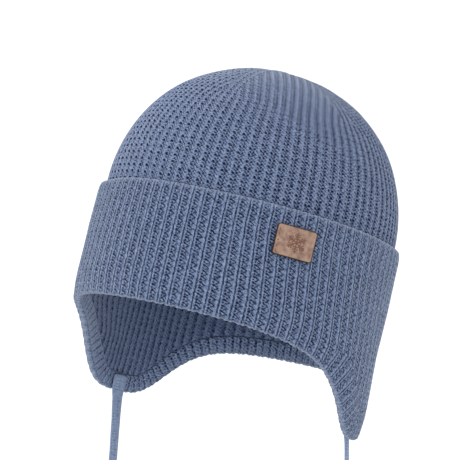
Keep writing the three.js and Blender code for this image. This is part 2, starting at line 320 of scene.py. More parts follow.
class Shell:
    """Gathers rings of points, the faces between them and each face corner's place in the knit."""

    def __init__(self):
        self.points = []
        self.values = []
        self.count = 0
        self.faces = []
        self.places = []
        self.slots = []
        self.last = None

    def ring(self, points, stitch=1.0, painted_highlight=0.0):
        """Adds points and gives their numbers. Stitch and the painted highlight are kept for the material.
        """
        points = np.asarray(points, float)
        flat = points.reshape(-1, 3)
        self.points.append(flat)
        values = np.stack(np.broadcast_arrays(stitch, painted_highlight, np.zeros(points.shape[:-1])), -1)
        self.values.append(values.reshape(-1, 3)[:, :2])
        numbers = np.arange(self.count, self.count + len(flat)).reshape(points.shape[:-1])
        self.count += len(flat)
        return numbers

    def add(self, faces, places, layout, slot=0):
        """Adds faces, with the corners' raw places turned into millimetres of knit by a layout."""
        self.faces.append(np.asarray(faces))
        self.places.append(layout(np.asarray(places, float)))
        self.slots.append(np.full(len(faces), slot))

    def strip(self, upper, lower, upper_places, lower_places, period, layout, slot=0):
        """Joins two rings of one count with quads, all the way round."""
        after = np.roll(upper, -1)
        below = np.roll(lower, -1)
        upper_next = np.roll(upper_places, -1, 0)
        lower_next = np.roll(lower_places, -1, 0)
        upper_next[-1] += period
        lower_next[-1] += period
        faces = np.stack([upper, lower, below, after], -1)
        places = np.stack([upper_places, lower_places, lower_next, upper_next], 1)
        self.add(faces, places, layout, slot)

    def zipper(self, upper, lower, upper_places, lower_places, period, layout, slot=0):
        """Joins two rings of any two counts with triangles, by how far round each point lies."""
        faces, places = [], []
        i = j = 0
        n, m = len(upper), len(lower)

        def place(table, k):
            return table[k % len(table)] + (period if k >= len(table) else 0)

        while i < n or j < m:
            a, b = upper[i % n], lower[j % m]
            reach_upper = place(upper_places, i + 1)[0] if i < n else math.inf
            reach_lower = place(lower_places, j + 1)[0] if j < m else math.inf
            if reach_lower <= reach_upper:
                faces.append((a, b, lower[(j + 1) % m]))
                places.append((place(upper_places, i), place(lower_places, j), place(lower_places, j + 1)))
                j += 1
            else:
                faces.append((a, b, upper[(i + 1) % n]))
                places.append((place(upper_places, i), place(lower_places, j), place(upper_places, i + 1)))
                i += 1
        self.add(faces, places, layout, slot)

    def join(self, upper, lower, upper_places, lower_places, period, layout, slot=0):
        way = self.strip if len(upper) == len(lower) else self.zipper
        way(upper, lower, upper_places, lower_places, period, layout, slot)

    def follow(self, points, places, period, layout, slot=0, stitch=1.0, painted_highlight=0.0):
        """Adds a ring, joins it to the one before, if there is one, and gives its numbers and places."""
        before = self.last
        self.last = self.ring(points, stitch, painted_highlight), places
        if before is not None:
            self.join(before[0], self.last[0], before[1], places, period, layout, slot)
        return self.last

    def fan(self, top, ring, top_place, places, period, layout, outward=True, slot=0):
        """Closes a ring to one point."""
        following = np.roll(ring, -1)
        places_next = np.roll(places, -1, 0)
        places_next[-1] += period
        tops = np.full(len(ring), top)
        middle = (places + places_next) / 2
        middle[:, 1] = top_place
        corners = [tops, ring, following] if outward else [tops, following, ring]
        spots = [middle, places, places_next] if outward else [middle, places_next, places]
        self.add(np.stack(corners, -1), np.stack(spots, 1), layout, slot)

    def mesh(self, name, materials):
        """Makes the object, with its UV map in millimetres and the two values on its points."""
        points = np.concatenate(self.points) * MM
        faces = [tuple(int(n) for n in face) for block in self.faces for face in block]
        data = bpy.data.meshes.new(name)
        data.from_pydata(points.tolist(), [], faces)
        data.update()
        places = np.concatenate([block.reshape(-1, 2) for block in self.places])
        layer = data.uv_layers.new(name="knit")
        layer.data.foreach_set("uv", places.astype(np.float32).ravel())
        values = np.concatenate(self.values)
        for column, key in enumerate(("stitch", "painted_highlight")):
            attribute = data.attributes.new(key, "FLOAT", "POINT")
            attribute.data.foreach_set("value", values[:, column].astype(np.float32))
        data.polygons.foreach_set("use_smooth", np.ones(len(faces), bool))
        for material in materials:
            data.materials.append(material)
        data.polygons.foreach_set("material_index", np.concatenate(self.slots).astype(np.int32))
        made = bpy.data.objects.new(name, data)
        bpy.context.scene.collection.objects.link(made)
        return made


def spread_columns(count):
    return np.arange(count) * 360.0 / count


def pair(first, second):
    """Raw places of a ring, from its angles and one depth for all or one for each."""
    return np.stack(np.broadcast_arrays(first, second), -1).astype(float)


# The lower edge laid flat: millimetres round the hat against depth

RIB_LEAN = 3.0
LEAN_GROWS = (10, 55)
LEAN_ENDS = (110, 150)
LEAN_FROM = 14.0
LEAN_OVER = 36.0
LEAN_MOST = 1.4


def lean(angle, depth):
    """How far the cuff's ribs lean outwards towards the flaps on their way down, in degrees."""
    turn = turn_from(angle, 0)
    spread = ease(*LEAN_GROWS, np.abs(turn)) * (1 - ease(*LEAN_ENDS, np.abs(turn)))
    return RIB_LEAN * np.sign(turn) * spread * np.clip((depth - LEAN_FROM) / LEAN_OVER, 0, LEAN_MOST)


def main_rib(angle, depth):
    """The number of the rib that runs through a place on the cuff."""
    return (angle - lean(angle, depth)) * RIBS / 360


ROUND_OUT = 3.5
ROUND_ANGLES = np.linspace(0, 360, 14401)
ROUND_TURNS = np.radians(ROUND_ANGLES)
ROUND_SPEED = np.hypot(
    (HALF_WIDTH + ROUND_OUT) * np.cos(ROUND_TURNS), (HALF_LENGTH + ROUND_OUT) * np.sin(ROUND_TURNS),
)
ROUND_STEPS = (ROUND_SPEED[1:] + ROUND_SPEED[:-1]) / 2 * np.diff(ROUND_TURNS)
ROUND_RUN = np.concatenate([[0], np.cumsum(ROUND_STEPS)])
ROUND = ROUND_RUN[-1]


def run_of(angle):
    turns = np.floor(angle / 360)
    return np.interp(angle - 360 * turns, ROUND_ANGLES, ROUND_RUN) + ROUND * turns


def angle_of(run):
    turns = np.floor(run / ROUND)
    return np.interp(run - ROUND * turns, ROUND_RUN, ROUND_ANGLES) + 360 * turns


EDGE_STEPS = 1100
EDGE_MARGIN = 130
EDGE_STRIDE = 10
NEAR_AT_ONCE = 20000
Edge = namedtuple("Edge", "at point inward rib row border length ribs")


def make_edge():
    """Points along the edge, the way in from each, the ribs that cross it and the border's width."""
    depth = edge_depth(ROUND_ANGLES)
    length = np.concatenate([[0], np.cumsum(np.hypot(np.diff(ROUND_RUN), np.diff(depth)))])
    total = length[-1]
    at = np.arange(EDGE_STEPS) * total / EDGE_STEPS
    point = np.stack([np.interp(at, length, ROUND_RUN), np.interp(at, length, depth)], -1)
    slope_run = np.interp(at, length, np.gradient(ROUND_RUN, length))
    slope_depth = np.interp(at, length, np.gradient(depth, length))
    inward = np.stack([slope_depth, -slope_run], -1)
    inward /= np.linalg.norm(inward, axis=1, keepdims=True)
    bent = point + inward * BEND
    base = main_rib(angle_of(bent[:, 0]), bent[:, 1])
    rib, row = base.copy(), point[:, 1].copy()
    border = np.full(EDGE_STEPS, -1.0)
    added = 0
    for start_angle, end_angle in FLAP_BORDERS:
        start, end = np.searchsorted(at, np.interp([start_angle, end_angle], ROUND_ANGLES, length))
        here = slice(start, end)
        travel = at[here] - at[start]
        share = travel / travel[-1]
        across = base[end] - base[start]
        extra = round(travel[-1] / RIB_PITCH - across)
        rib[here] = base[start] + added + (across + extra) * share
        added += extra
        rib[end:] = base[end:] + added
        row[here] = point[start, 1] + (point[end, 1] - point[start, 1]) * share
        ramp = np.minimum(travel, travel[-1] - travel)
        border[here] = MITRE_START + (MITRE_WIDTH - MITRE_START) * ease(0, MITRE_RAMP, ramp)
    ribs = RIBS + added
    m = EDGE_MARGIN
    shift = np.array([ROUND, 0.0])
    return Edge(
        np.concatenate([at[-m:] - total, at, at[:m] + total]),
        np.concatenate([point[-m:] - shift, point, point[:m] + shift]),
        np.concatenate([inward[-m:], inward, inward[:m]]),
        np.concatenate([rib[-m:] - ribs, rib, rib[:m] + ribs]),
        np.concatenate([row[-m:], row, row[:m]]),
        np.concatenate([border[-m:], border, border[:m]]),
        total,
        ribs,
    )


EDGE = make_edge()
EDGE_AT = EDGE.at[EDGE_MARGIN:-EDGE_MARGIN]
EDGE_TURN = np.array([EDGE.length, 0.0])


def near_edge(angle, depth):
    """How far along the lower edge each place lies, and how far in from it."""
    spots = np.stack([run_of(angle), depth], -1).reshape(-1, 2)
    rough = EDGE.point[::EDGE_STRIDE]
    around = np.arange(-EDGE_STRIDE, EDGE_STRIDE + 1)
    along, inset = np.empty(len(spots)), np.empty(len(spots))
    for begin in range(0, len(spots), NEAR_AT_ONCE):
        part = slice(begin, begin + NEAR_AT_ONCE)
        some = spots[part]
        far = (some[:, None, 0] - rough[None, :, 0]) ** 2 + (some[:, None, 1] - rough[None, :, 1]) ** 2
        window = np.clip(far.argmin(1)[:, None] * EDGE_STRIDE + around, 0, len(EDGE.at) - 1)
        away = some[:, None] - EDGE.point[window]
        best = window[np.arange(len(some)), (away ** 2).sum(-1).argmin(1)]
        left = some - EDGE.point[best]
        inward = EDGE.inward[best]
        along[part] = EDGE.at[best] + left[:, 1] * inward[:, 0] - left[:, 0] * inward[:, 1]
        inset[part] = (left * inward).sum(-1)
    return along.reshape(np.shape(angle)), inset.reshape(np.shape(angle))


def edge_places(inset):
    """The angles and depths of a ring of points a distance inside the edge."""
    spots = (EDGE.point + EDGE.inward * inset)[EDGE_MARGIN:-EDGE_MARGIN]
    return angle_of(spots[:, 0]), spots[:, 1]


def offset_edge(angles, inset):
    """The depth of the line that runs a distance inside the lower edge, at given angles."""
    spots = EDGE.point + EDGE.inward * inset
    order = np.argsort(spots[:, 0])
    return np.interp(run_of(angles), spots[order, 0], spots[order, 1])


# Layouts of the knit: raw places, by face and corner, turned into millimetres across and down it

def cuff_layout(places):
    """From angle and depth. Ribs bend to meet the edge, and in the flaps a border follows it."""
    angle, depth = np.broadcast_arrays(places[..., 0], places[..., 1])
    along, inset = near_edge(angle, depth)
    bend = np.where(inset < 2 * BEND, BEND + inset ** 2 / (4 * BEND) - inset, 0)
    push_run = np.interp(along, EDGE.at, EDGE.inward[:, 0])
    push_depth = np.interp(along, EDGE.at, EDGE.inward[:, 1])
    bent_angle = angle_of(run_of(angle) + bend * push_run)
    across = main_rib(bent_angle, depth + bend * push_depth)
    border_across = np.interp(along, EDGE.at, EDGE.rib)
    border_down = np.interp(along, EDGE.at, EDGE.row) - inset
    bordered = (inset < np.interp(along, EDGE.at, EDGE.border)).astype(float)
    if bordered.ndim > 1:
        bordered = np.broadcast_to(bordered.mean(axis=-1, keepdims=True), across.shape)
    across = np.where(bordered > 0.5, border_across, across) * RIB_PITCH
    return np.stack([across, np.where(bordered > 0.5, border_down, depth)], -1)


def rim_layout(places):
    """From millimetres along the edge and the distance round it, past the outer face."""
    along, past = places[..., 0], places[..., 1]
    across = np.interp(along, EDGE.at, EDGE.rib) * RIB_PITCH
    return np.stack([across, np.interp(along, EDGE.at, EDGE.row) + past], -1)


def hem_layout(places):
    """From millimetres along the edge and in from it, on the hem's inner face."""
    count = round(EDGE.length / HEM_PITCH)
    return np.stack([places[..., 0] / EDGE.length * count * HEM_PITCH, places[..., 1]], -1)


CLOSE_RIBS = 4
CLOSE_ANGLES = (88, 135)
CONVERGE_MIDDLE = 102
CONVERGE_START = 40
CONVERGE_FROM = 62.0
CONVERGE_OVER = 54.0
CONVERGE_MOST = 0.3


def inner_layout(places):
    """From angle and depth on the inner layer, whose ribs are closer in the flaps."""
    angle, depth = places[..., 0], places[..., 1]
    turned = turn_from(angle, 0)
    moved = angle
    pull = np.clip((depth - CONVERGE_FROM) / CONVERGE_OVER, 0, CONVERGE_MOST)
    for side in (1, -1):
        ahead = (turned * side < CONVERGE_MIDDLE) & (turned * side > CONVERGE_START)
        moved = np.where(ahead, angle + (turned - CONVERGE_MIDDLE * side) * (1 / (1 - pull) - 1), moved)
    turn = turn_from(moved, 0)
    close = ease(*CLOSE_ANGLES, turn) - ease(*CLOSE_ANGLES, -turn) + 2 * np.floor((moved + 180) / 360)
    across = (moved * RIBS / 360 + CLOSE_RIBS * close) * RIB_PITCH
    return np.stack([across, depth * CROWN_ROW / INNER_ROW], -1)


def dome_layout(places):
    """From angle and arc on the crown, with the decreases near the pole."""
    angle, arc = places[..., 0], places[..., 1]
    arcs, reaches, _ = dome_profile()
    start = np.interp(DECREASE_START, arcs, reaches)
    draw = np.minimum(1, np.interp(arc, arcs, reaches) / start)
    rib = angle * RIBS / 360
    middle = rib.mean(axis=1, keepdims=True)
    middle_draw = draw.mean(axis=1, keepdims=True)
    low = np.array([DECREASE_RIBS[-1] - RIBS] + DECREASE_RIBS)
    turns = np.floor((middle - low[0]) / RIBS) * RIBS
    gore = np.searchsorted(low, middle - turns, side="right") - 1
    left = low[gore] + turns
    right = np.append(low, low[0] + RIBS)[gore + 1] + turns
    centre = (left + right) / 2
    closing = ease(DECREASE_START, DECREASE_START + DECREASE_BLEND, arc)
    closed = 1 - (1 - DECREASE_CLOSE) * closing
    in_gore = centre + (rib - centre) * draw
    near = np.where(middle < centre, left, right)
    in_line = near + (rib - near) * draw / closed
    strip = (np.abs((middle - near) * middle_draw) < DECREASE_CLOSE) & (arc > DECREASE_START)
    across = np.where(strip, in_line, in_gore)
    return np.stack([across * RIB_PITCH, arc], -1)


def relief_at(marks, layout, places, pitch, row, stitch=1.0):
    """How far the marks sink each point of a ring."""
    return dents(marks, layout(places[:, None, :])[:, 0], pitch, row, stitch)


# The crown: the dome, the inner layer behind the cuff, its foot, and the inside of both

CROWN_COLUMNS = RIBS * 8
HALVED_FROM = 72.0
QUARTERED_FROM = 106.0
POLE_ROOM = 2.0
CROWN_CREST = 0.45
CREST_LOSS = 0.5
CREST_LOSS_FROM = 118.0

# Towards the pole, where the knit is drawn tight, the stitches fade and the ribs flatten
STITCH_FADE = 0.35
FADE_FROM = 96.0
FADE_TO = 122.0
FLATTENING = 0.5
FLAT_FROM = 52.0
FLAT_TO = 92.0

# Behind the cuff the outer face is out of sight and plain
HIDDEN_COLUMNS = RIBS * 2
HIDDEN_OUT = -0.1
HIDDEN_SHARES = (0.02, 0.25, 0.5, 0.75, 1.0)

# The inner face, from its rounded foot up to the cuff's line
INSIDE_COLUMNS = RIBS * 8
INSIDE_SHARES = np.concatenate([[1.0, 0.988, 0.975], np.linspace(0.96, 0, 72)])
INSIDE_CREST = 0.5
INSIDE_RELIEF = 0.45
FOOT_FROM = 0.955
FOOT_ROUNDING = 0.5
INSIDE_SLOT = 1

# The inside of the dome, whose ribs and stitches fade towards the pole
VAULT_STEP = 3.0
VAULT_COLUMNS = RIBS * 4
VAULT_HALVED_FROM = 80.0
VAULT_ROOM = 6.0
VAULT_RIDGE = 0.35
RIDGE_FADE = (70, 110)
VAULT_STITCH_FADE = (70, 100)


def crown_outside(shell, top):
    """The dome, from the pole down to the cuff's line."""
    rings = []
    for arc in np.arange(0, top - POLE_ROOM, CROWN_ROW / 4)[::-1]:
        parts = 1 if arc < HALVED_FROM else 2 if arc < QUARTERED_FROM else 4
        angles = spread_columns(CROWN_COLUMNS // parts)
        places = pair(angles, arc)
        stitch = float(1 - STITCH_FADE * ease(FADE_FROM, FADE_TO, arc))
        crest = CROWN_CREST * (1 - CREST_LOSS * ease(CREST_LOSS_FROM, top, arc))
        sink = relief_at(CROWN_MARKS, dome_layout, places, RIB_PITCH, CROWN_ROW, stitch)
        flatness = FLATTENING * ease(FLAT_FROM, FLAT_TO, arc)
        out = crest - sink * (1 - flatness) + sway(angles, -arc)
        rings.append(shell.follow(on_dome(angles, arc, out), places, FULL_TURN, dome_layout, 0, stitch))
    pole = shell.ring(np.array([[*DOME_LEAN, LINE_Z + CROWN_RISE]]), 0.0)[0]
    ring, places = rings[0]
    shell.fan(pole, ring, top, places, FULL_TURN, dome_layout)


def crown_inside(shell, top):
    """Down behind the cuff to the foot, and up the inner face to the pole."""
    angles = spread_columns(HIDDEN_COLUMNS)
    foot = offset_edge(angles, HEM + GAP)
    for share in HIDDEN_SHARES:
        places = pair(angles, foot * share)
        shell.follow(on_oval(angles, HIDDEN_OUT, places[:, 1]), places, FULL_TURN, inner_layout)
    angles = spread_columns(INSIDE_COLUMNS)
    foot = offset_edge(angles, HEM + GAP)
    for share in INSIDE_SHARES:
        places = pair(angles, foot * share)
        sink = relief_at(INSIDE_MARKS, inner_layout, places, RIB_PITCH, CROWN_ROW)
        rounding = FOOT_ROUNDING * ease(FOOT_FROM, 1.0, share)
        out = INSIDE_RELIEF * sink - WALL - INSIDE_CREST + rounding
        shell.follow(on_oval(angles, out, places[:, 1]), places, FULL_TURN, inner_layout, INSIDE_SLOT)
    for arc in np.arange(VAULT_STEP, top - VAULT_ROOM, VAULT_STEP):
        angles = spread_columns(VAULT_COLUMNS if arc < VAULT_HALVED_FROM else VAULT_COLUMNS // 2)
        places = pair(angles, -arc)
        ridge = VAULT_RIDGE * np.cos(2 * np.pi * angles * RIBS / 360) * (1 - ease(*RIDGE_FADE, arc))
        points = on_dome(angles, arc, -ridge, WALL)
        stitch = float(1 - ease(*VAULT_STITCH_FADE, arc))
        shell.follow(points, places, FULL_TURN, inner_layout, INSIDE_SLOT, stitch)
    pole = shell.ring(np.array([[*DOME_LEAN, LINE_Z + CROWN_RISE - WALL]]), 0.0)[0]
    ring, places = shell.last
    shell.fan(pole, ring, -top, places, FULL_TURN, inner_layout, False, INSIDE_SLOT)


def make_crown(materials):
    shell = Shell()
    top = dome_profile()[0][-1]
    crown_outside(shell, top)
    crown_inside(shell, top)
    return shell.mesh("crown_knit", materials)


# The cuff: rolled upper edge, outer face, border, rim, hem, and the face against the inner layer

CUFF_COLUMNS = RIBS * 10
CUFF_STEP = CUFF_ROW / 4
CUFF_CREST = 0.45
CREST_RISE = (0.2, 3.0)
ROW_ROOM = 0.35
EDGE_STITCH = 0.8

# The rolled edge in rings, from the hidden face over to the outer one, and how much light each catches,
# which is painted on as a highlight
Roll = namedtuple("Roll", "depth out lit")
ROLLS = [
    Roll(2.6, GAP, 0.0), Roll(1.2, GAP + 0.4, 0.0), Roll(0.4, GAP + 0.9, 0.4), Roll(0.0, GAP + 1.5, 0.8),
    Roll(0.05, GAP + 2.2, 1.0), Roll(0.4, CUFF_FACE - 0.3, 0.9), Roll(0.95, CUFF_FACE + 0.15, 0.6),
]
ROLL_SCALLOP = 0.12
SCALLOP_FROM = 0.3
FOLD_PAINTED_HIGHLIGHT = 0.4
FOLD_FADE = (1.4, 2.6)

# The rim, a half oval round both layers' edge
RIM_START = 1.3
BORDER_INSETS = np.arange(BORDER - 0.4, RIM_START, -CUFF_STEP)
RIM_TURNS = np.radians(np.arange(8, 180, 16))
RIM_MIDDLE = GAP / 2
RIM_HALF = WALL + GAP / 2 + 0.35
RIM_ADVANCE = 0.28
RIM_SLOWING = 0.35
RIM_RELIEF = 0.8
RIM_PROUD = 0.1
RIM_PAINTED_HIGHLIGHT = 0.55
RIM_SCALLOP = 0.25

# The hem's inner face, with a painted highlight along each flap's front
HEM_INSETS = np.linspace(1.6, HEM, 13)
HEM_PAST = 0.5
HEM_CREST = 0.35
HEM_TOP = 1.5
HEM_FLATTENING = 0.6
HEM_DRAW = 0.25
HEM_FRONT = 78
HEM_FRONT_SPREAD = 14
HEM_FRONT_PAINTED_HIGHLIGHT = 0.3
HEM_EDGE_PAINTED_HIGHLIGHT = 0.25
HEM_EDGE_REACH = 5.5
HEM_SLOT = 1


def roll_edge(shell, angles):
    """The rolled upper edge. Gives its first ring, on the hidden face."""
    rings = []
    for depth, out, lit in ROLLS:
        places = pair(angles, depth)
        across = cuff_layout(places[:, None])[:, 0, 0]
        scallop = ROLL_SCALLOP * np.cos(2 * np.pi * across / RIB_PITCH) * ease(SCALLOP_FROM, 1.0, lit)
        points = on_oval(angles, out, depth - scallop)
        # Painted highlight on the fold, as much as the light each ring catches
        painted_highlight = lit * FOLD_PAINTED_HIGHLIGHT
        rings.append(shell.follow(points, places, FULL_TURN, cuff_layout, 0, EDGE_STITCH, painted_highlight))
    return rings[0]


def cuff_outside(shell, angles):
    """The outer face: columns of rows down to the border, each column with its own number."""
    foot = offset_edge(angles, BORDER)
    start = CUFF_STEP * 2
    counts = np.floor((foot - start) / CUFF_STEP - ROW_ROOM).astype(int)
    numbers = np.full((counts.max(), CUFF_COLUMNS), -1)
    tables = np.zeros((counts.max(), CUFF_COLUMNS, 2))
    for row in range(counts.max()):
        depth = start + row * CUFF_STEP
        tables[row] = pair(angles, depth)
        sink = relief_at(CUFF_MARKS, cuff_layout, tables[row], RIB_PITCH, CUFF_ROW)
        out = CUFF_FACE + (CUFF_CREST - sink) * float(ease(*CREST_RISE, depth))
        keep = row < counts
        # The fold's painted highlight fades out over the first rows below it
        painted_highlight = float(0.5 * FOLD_PAINTED_HIGHLIGHT * (1 - ease(*FOLD_FADE, depth)))
        numbers[row, keep] = shell.ring(on_oval(angles, out, depth)[keep], 1.0, painted_highlight)
    rolled, rolled_places = shell.last
    shell.strip(rolled, numbers[0], rolled_places, tables[0], FULL_TURN, cuff_layout)
    following = np.roll(numbers, -1, 1)
    tables_next = np.roll(tables, -1, 1)
    tables_next[:, -1, 0] += 360
    solid = (numbers[:-1] >= 0) & (numbers[1:] >= 0) & (following[:-1] >= 0) & (following[1:] >= 0)
    faces = np.stack([numbers[:-1], numbers[1:], following[1:], following[:-1]], -1)[solid]
    corners = np.stack([tables[:-1], tables[1:], tables_next[1:], tables_next[:-1]], 2)[solid]
    shell.add(faces, corners, cuff_layout)
    # The last ring, where the outer face meets the border
    places = pair(angles, foot)
    sink = relief_at(CUFF_MARKS, cuff_layout, places, RIB_PITCH, CUFF_ROW)
    shell.last = shell.ring(on_oval(angles, CUFF_FACE + CUFF_CREST - sink, foot)), places
    fill_steps(shell, numbers, tables, counts)


def fill_steps(shell, numbers, tables, counts):
    """Fills the steps between the columns' ends and the ring below them."""
    foot_ring, foot_places = shell.last
    steps, step_places = [], []
    for k in range(CUFF_COLUMNS):
        nxt = (k + 1) % CUFF_COLUMNS
        shift = FULL_TURN if nxt == 0 else np.zeros(2)
        low = min(counts[k], counts[nxt])
        left = [(numbers[r, k], tables[r, k]) for r in range(low - 1, counts[k])]
        right = [(numbers[r, nxt], tables[r, nxt] + shift) for r in range(low - 1, counts[nxt])]
        left.append((foot_ring[k], foot_places[k]))
        right.append((foot_ring[nxt], foot_places[nxt] + shift))
        i = j = 0
        while i < len(left) - 1 or j < len(right) - 1:
            go_left = j == len(right) - 1 or (i < len(left) - 1 and left[i + 1][1][1] <= right[j + 1][1][1])
            corner = left[i + 1] if go_left else right[j + 1]
            steps.append((left[i][0], corner[0], right[j][0]))
            step_places.append((left[i][1], corner[1], right[j][1]))
            if go_left:
                i += 1
            else:
                j += 1
    shell.add(steps, step_places, cuff_layout)


def cuff_border(shell):
    """The border, in rings that follow the edge."""
    for inset in BORDER_INSETS:
        ring_angles, depth = edge_places(inset)
        places = pair(ring_angles, depth)
        sink = relief_at(CUFF_MARKS, cuff_layout, places, RIB_PITCH, CUFF_ROW)
        points = on_oval(ring_angles, CUFF_FACE + CUFF_CREST - sink, depth)
        shell.follow(points, places, FULL_TURN, cuff_layout)


def cuff_rim(shell):
    past = -BORDER_INSETS[-1]
    shell.last = shell.last[0], pair(EDGE_AT, past)
    for turn in RIM_TURNS:
        ring_angles, depth = edge_places(RIM_START * (1 - math.sin(turn)))
        past += RIM_ADVANCE * RIM_HALF * (1 - RIM_SLOWING * math.sin(turn))
        places = pair(EDGE_AT, past)
        sink = relief_at(CUFF_MARKS, rim_layout, places, RIB_PITCH, CUFF_ROW, EDGE_STITCH)
        sink = sink * RIM_RELIEF - RIM_PROUD
        out = RIM_MIDDLE + (RIM_HALF - sink) * math.cos(turn)
        scallop = RIM_SCALLOP * np.cos(4 * np.pi * rim_layout(places)[:, 0] / RIB_PITCH)
        points = on_oval(ring_angles, out, depth - (sink + scallop) * math.sin(turn))
        # Painted highlight on the rim, strongest on its outermost curve
        painted_highlight = RIM_PAINTED_HIGHLIGHT * math.sin(turn) ** 2
        shell.follow(points, places, EDGE_TURN, rim_layout, 0, EDGE_STITCH, painted_highlight)


def cuff_hem(shell):
    """Up the hem's inner face and over the ledge on top of it. Gives the ledge's own places."""
    shell.last = shell.last[0], pair(EDGE_AT, HEM_PAST)
    for inset in HEM_INSETS:
        ring_angles, depth = edge_places(inset)
        places = pair(EDGE_AT, inset)
        sink = relief_at(HEM_MARKS, hem_layout, places, HEM_PITCH, HEM_ROW)
        top = float(ease(HEM - HEM_TOP, HEM, inset))
        out = (sink - HEM_CREST) * (1 - HEM_FLATTENING * top) - WALL + HEM_DRAW * top
        # Painted highlight along each flap's front and near the hem's lower edge
        front = np.exp(-(((np.abs(turn_from(ring_angles, 0)) - HEM_FRONT) / HEM_FRONT_SPREAD) ** 2))
        low = float(1 - ease(HEM_INSETS[0], HEM_EDGE_REACH, inset))
        painted_highlight = HEM_EDGE_PAINTED_HIGHLIGHT * low + HEM_FRONT_PAINTED_HIGHLIGHT * front
        shell.follow(on_oval(ring_angles, out, depth), places, EDGE_TURN, hem_layout, HEM_SLOT, 1.0, painted_highlight)
    ring_angles, depth = edge_places(HEM)
    points = on_oval(ring_angles, GAP, depth)
    shell.follow(points, pair(EDGE_AT, HEM + WALL), EDGE_TURN, hem_layout, HEM_SLOT, 0.0)
    return pair(ring_angles, depth)


def make_cuff(materials):
    shell = Shell()
    angles = spread_columns(CUFF_COLUMNS)
    first, first_places = roll_edge(shell, angles)
    cuff_outside(shell, angles)
    cuff_border(shell)
    cuff_rim(shell)
    ledge_places = cuff_hem(shell)
    # The hidden face, from the ledge up to the rolled edge
    shell.last = shell.last[0], ledge_places
    hidden = spread_columns(HIDDEN_COLUMNS)
    places = pair(hidden, offset_edge(hidden, HEM) * 0.5)
    middle, _ = shell.follow(on_oval(hidden, GAP, places[:, 1]), places, FULL_TURN, inner_layout, 0, 0.0)
    shell.join(middle, first, places, first_places, FULL_TURN, inner_layout)
    return shell.mesh("cuff_knit", materials)


# The ties: flat knitted cords, sewn inside each flap's hem, that hang to a plain end

TIE_WIDTH = 5.8
TIE_THICKNESS = 2.2
TIE_SIDES = 24
TIE_STEP = 0.8
TIE_REPEATS = 8

# A flat oval, a little square, that narrows and thins at its cut ends
TIE_SQUARE_WIDE = 0.7
TIE_SQUARE_THICK = 0.85
Taper = namedtuple("Taper", "share run")
TOP_TAPER = Taper(0.35, 1.2)
END_TAPER = Taper(0.3, 1.6)
TIE_NARROWING = 0.25
CAP_RISE = 0.15

# How wide the tie is at lengths down it, from where it is sewn on
TIE_TRAVELS = [0, 9, 13, 24, 44]
TIE_WIDTHS = [9.0, 8.7, 7.3, 6.3, TIE_WIDTH]
TIE_ROUTES = {
    "tie_left": [
        (71.1, 32.7, -178.0), (71.5, 32.9, -182.0), (72.1, 33.2, -185.5), (73.1, 33.8, -189.5),
        (74.5, 34.7, -196.5), (75.9, 35.7, -204.5), (77.1, 36.5, -212.5), (78.3, 37.3, -220.5),
        (80.0, 38.5, -234.0), (81.5, 39.5, -249.0), (82.7, 40.3, -265.0), (83.4, 40.8, -281.0),
        (83.9, 41.1, -298.0), (84.2, 41.3, -316.0), (84.3, 41.3, -335.0), (84.3, 41.3, -354.0),
        (84.3, 41.3, -371.5),
    ],
    "tie_right": [
        (-75.1, 20.0, -178.0), (-75.2, 20.2, -182.0), (-75.1, 20.5, -185.5), (-74.7, 20.9, -189.5),
        (-73.9, 21.7, -196.5), (-72.9, 22.7, -204.5), (-71.9, 23.5, -212.5), (-70.8, 24.3, -220.5),
        (-69.2, 25.5, -234.0), (-67.7, 26.5, -249.0), (-66.5, 27.3, -265.0), (-65.8, 27.8, -281.0),
        (-65.3, 28.1, -298.0), (-65.0, 28.3, -316.0), (-64.9, 28.3, -335.0), (-64.9, 28.3, -354.0),
        (-64.9, 28.3, -371.5),
    ],
}


def smooth_route(points, step):
    """Points a step apart along a smooth curve through the route's points."""
    points = np.array(points, float)
    padded = np.vstack([2 * points[0] - points[1], points, 2 * points[-1] - points[-2]])
    curve = []
    t = np.linspace(0, 1, 40, endpoint=False)[:, None]
    for k in range(1, len(padded) - 2):
        a, b, c, d = padded[k - 1:k + 3]
        bend = (2 * a - 5 * b + 4 * c - d) * t ** 2 + (3 * b - a - 3 * c + d) * t ** 3
        curve.append(0.5 * (2 * b + (c - a) * t + bend))
    curve = np.vstack([*curve, points[-1:]])
    length = np.concatenate([[0], np.cumsum(np.linalg.norm(np.diff(curve, axis=0), axis=1))])
    at = np.linspace(0, length[-1], int(round(length[-1] / step)) + 1)
    return np.stack([np.interp(at, length, curve[:, k]) for k in range(3)], -1), at


def own_layout(places):
    return places


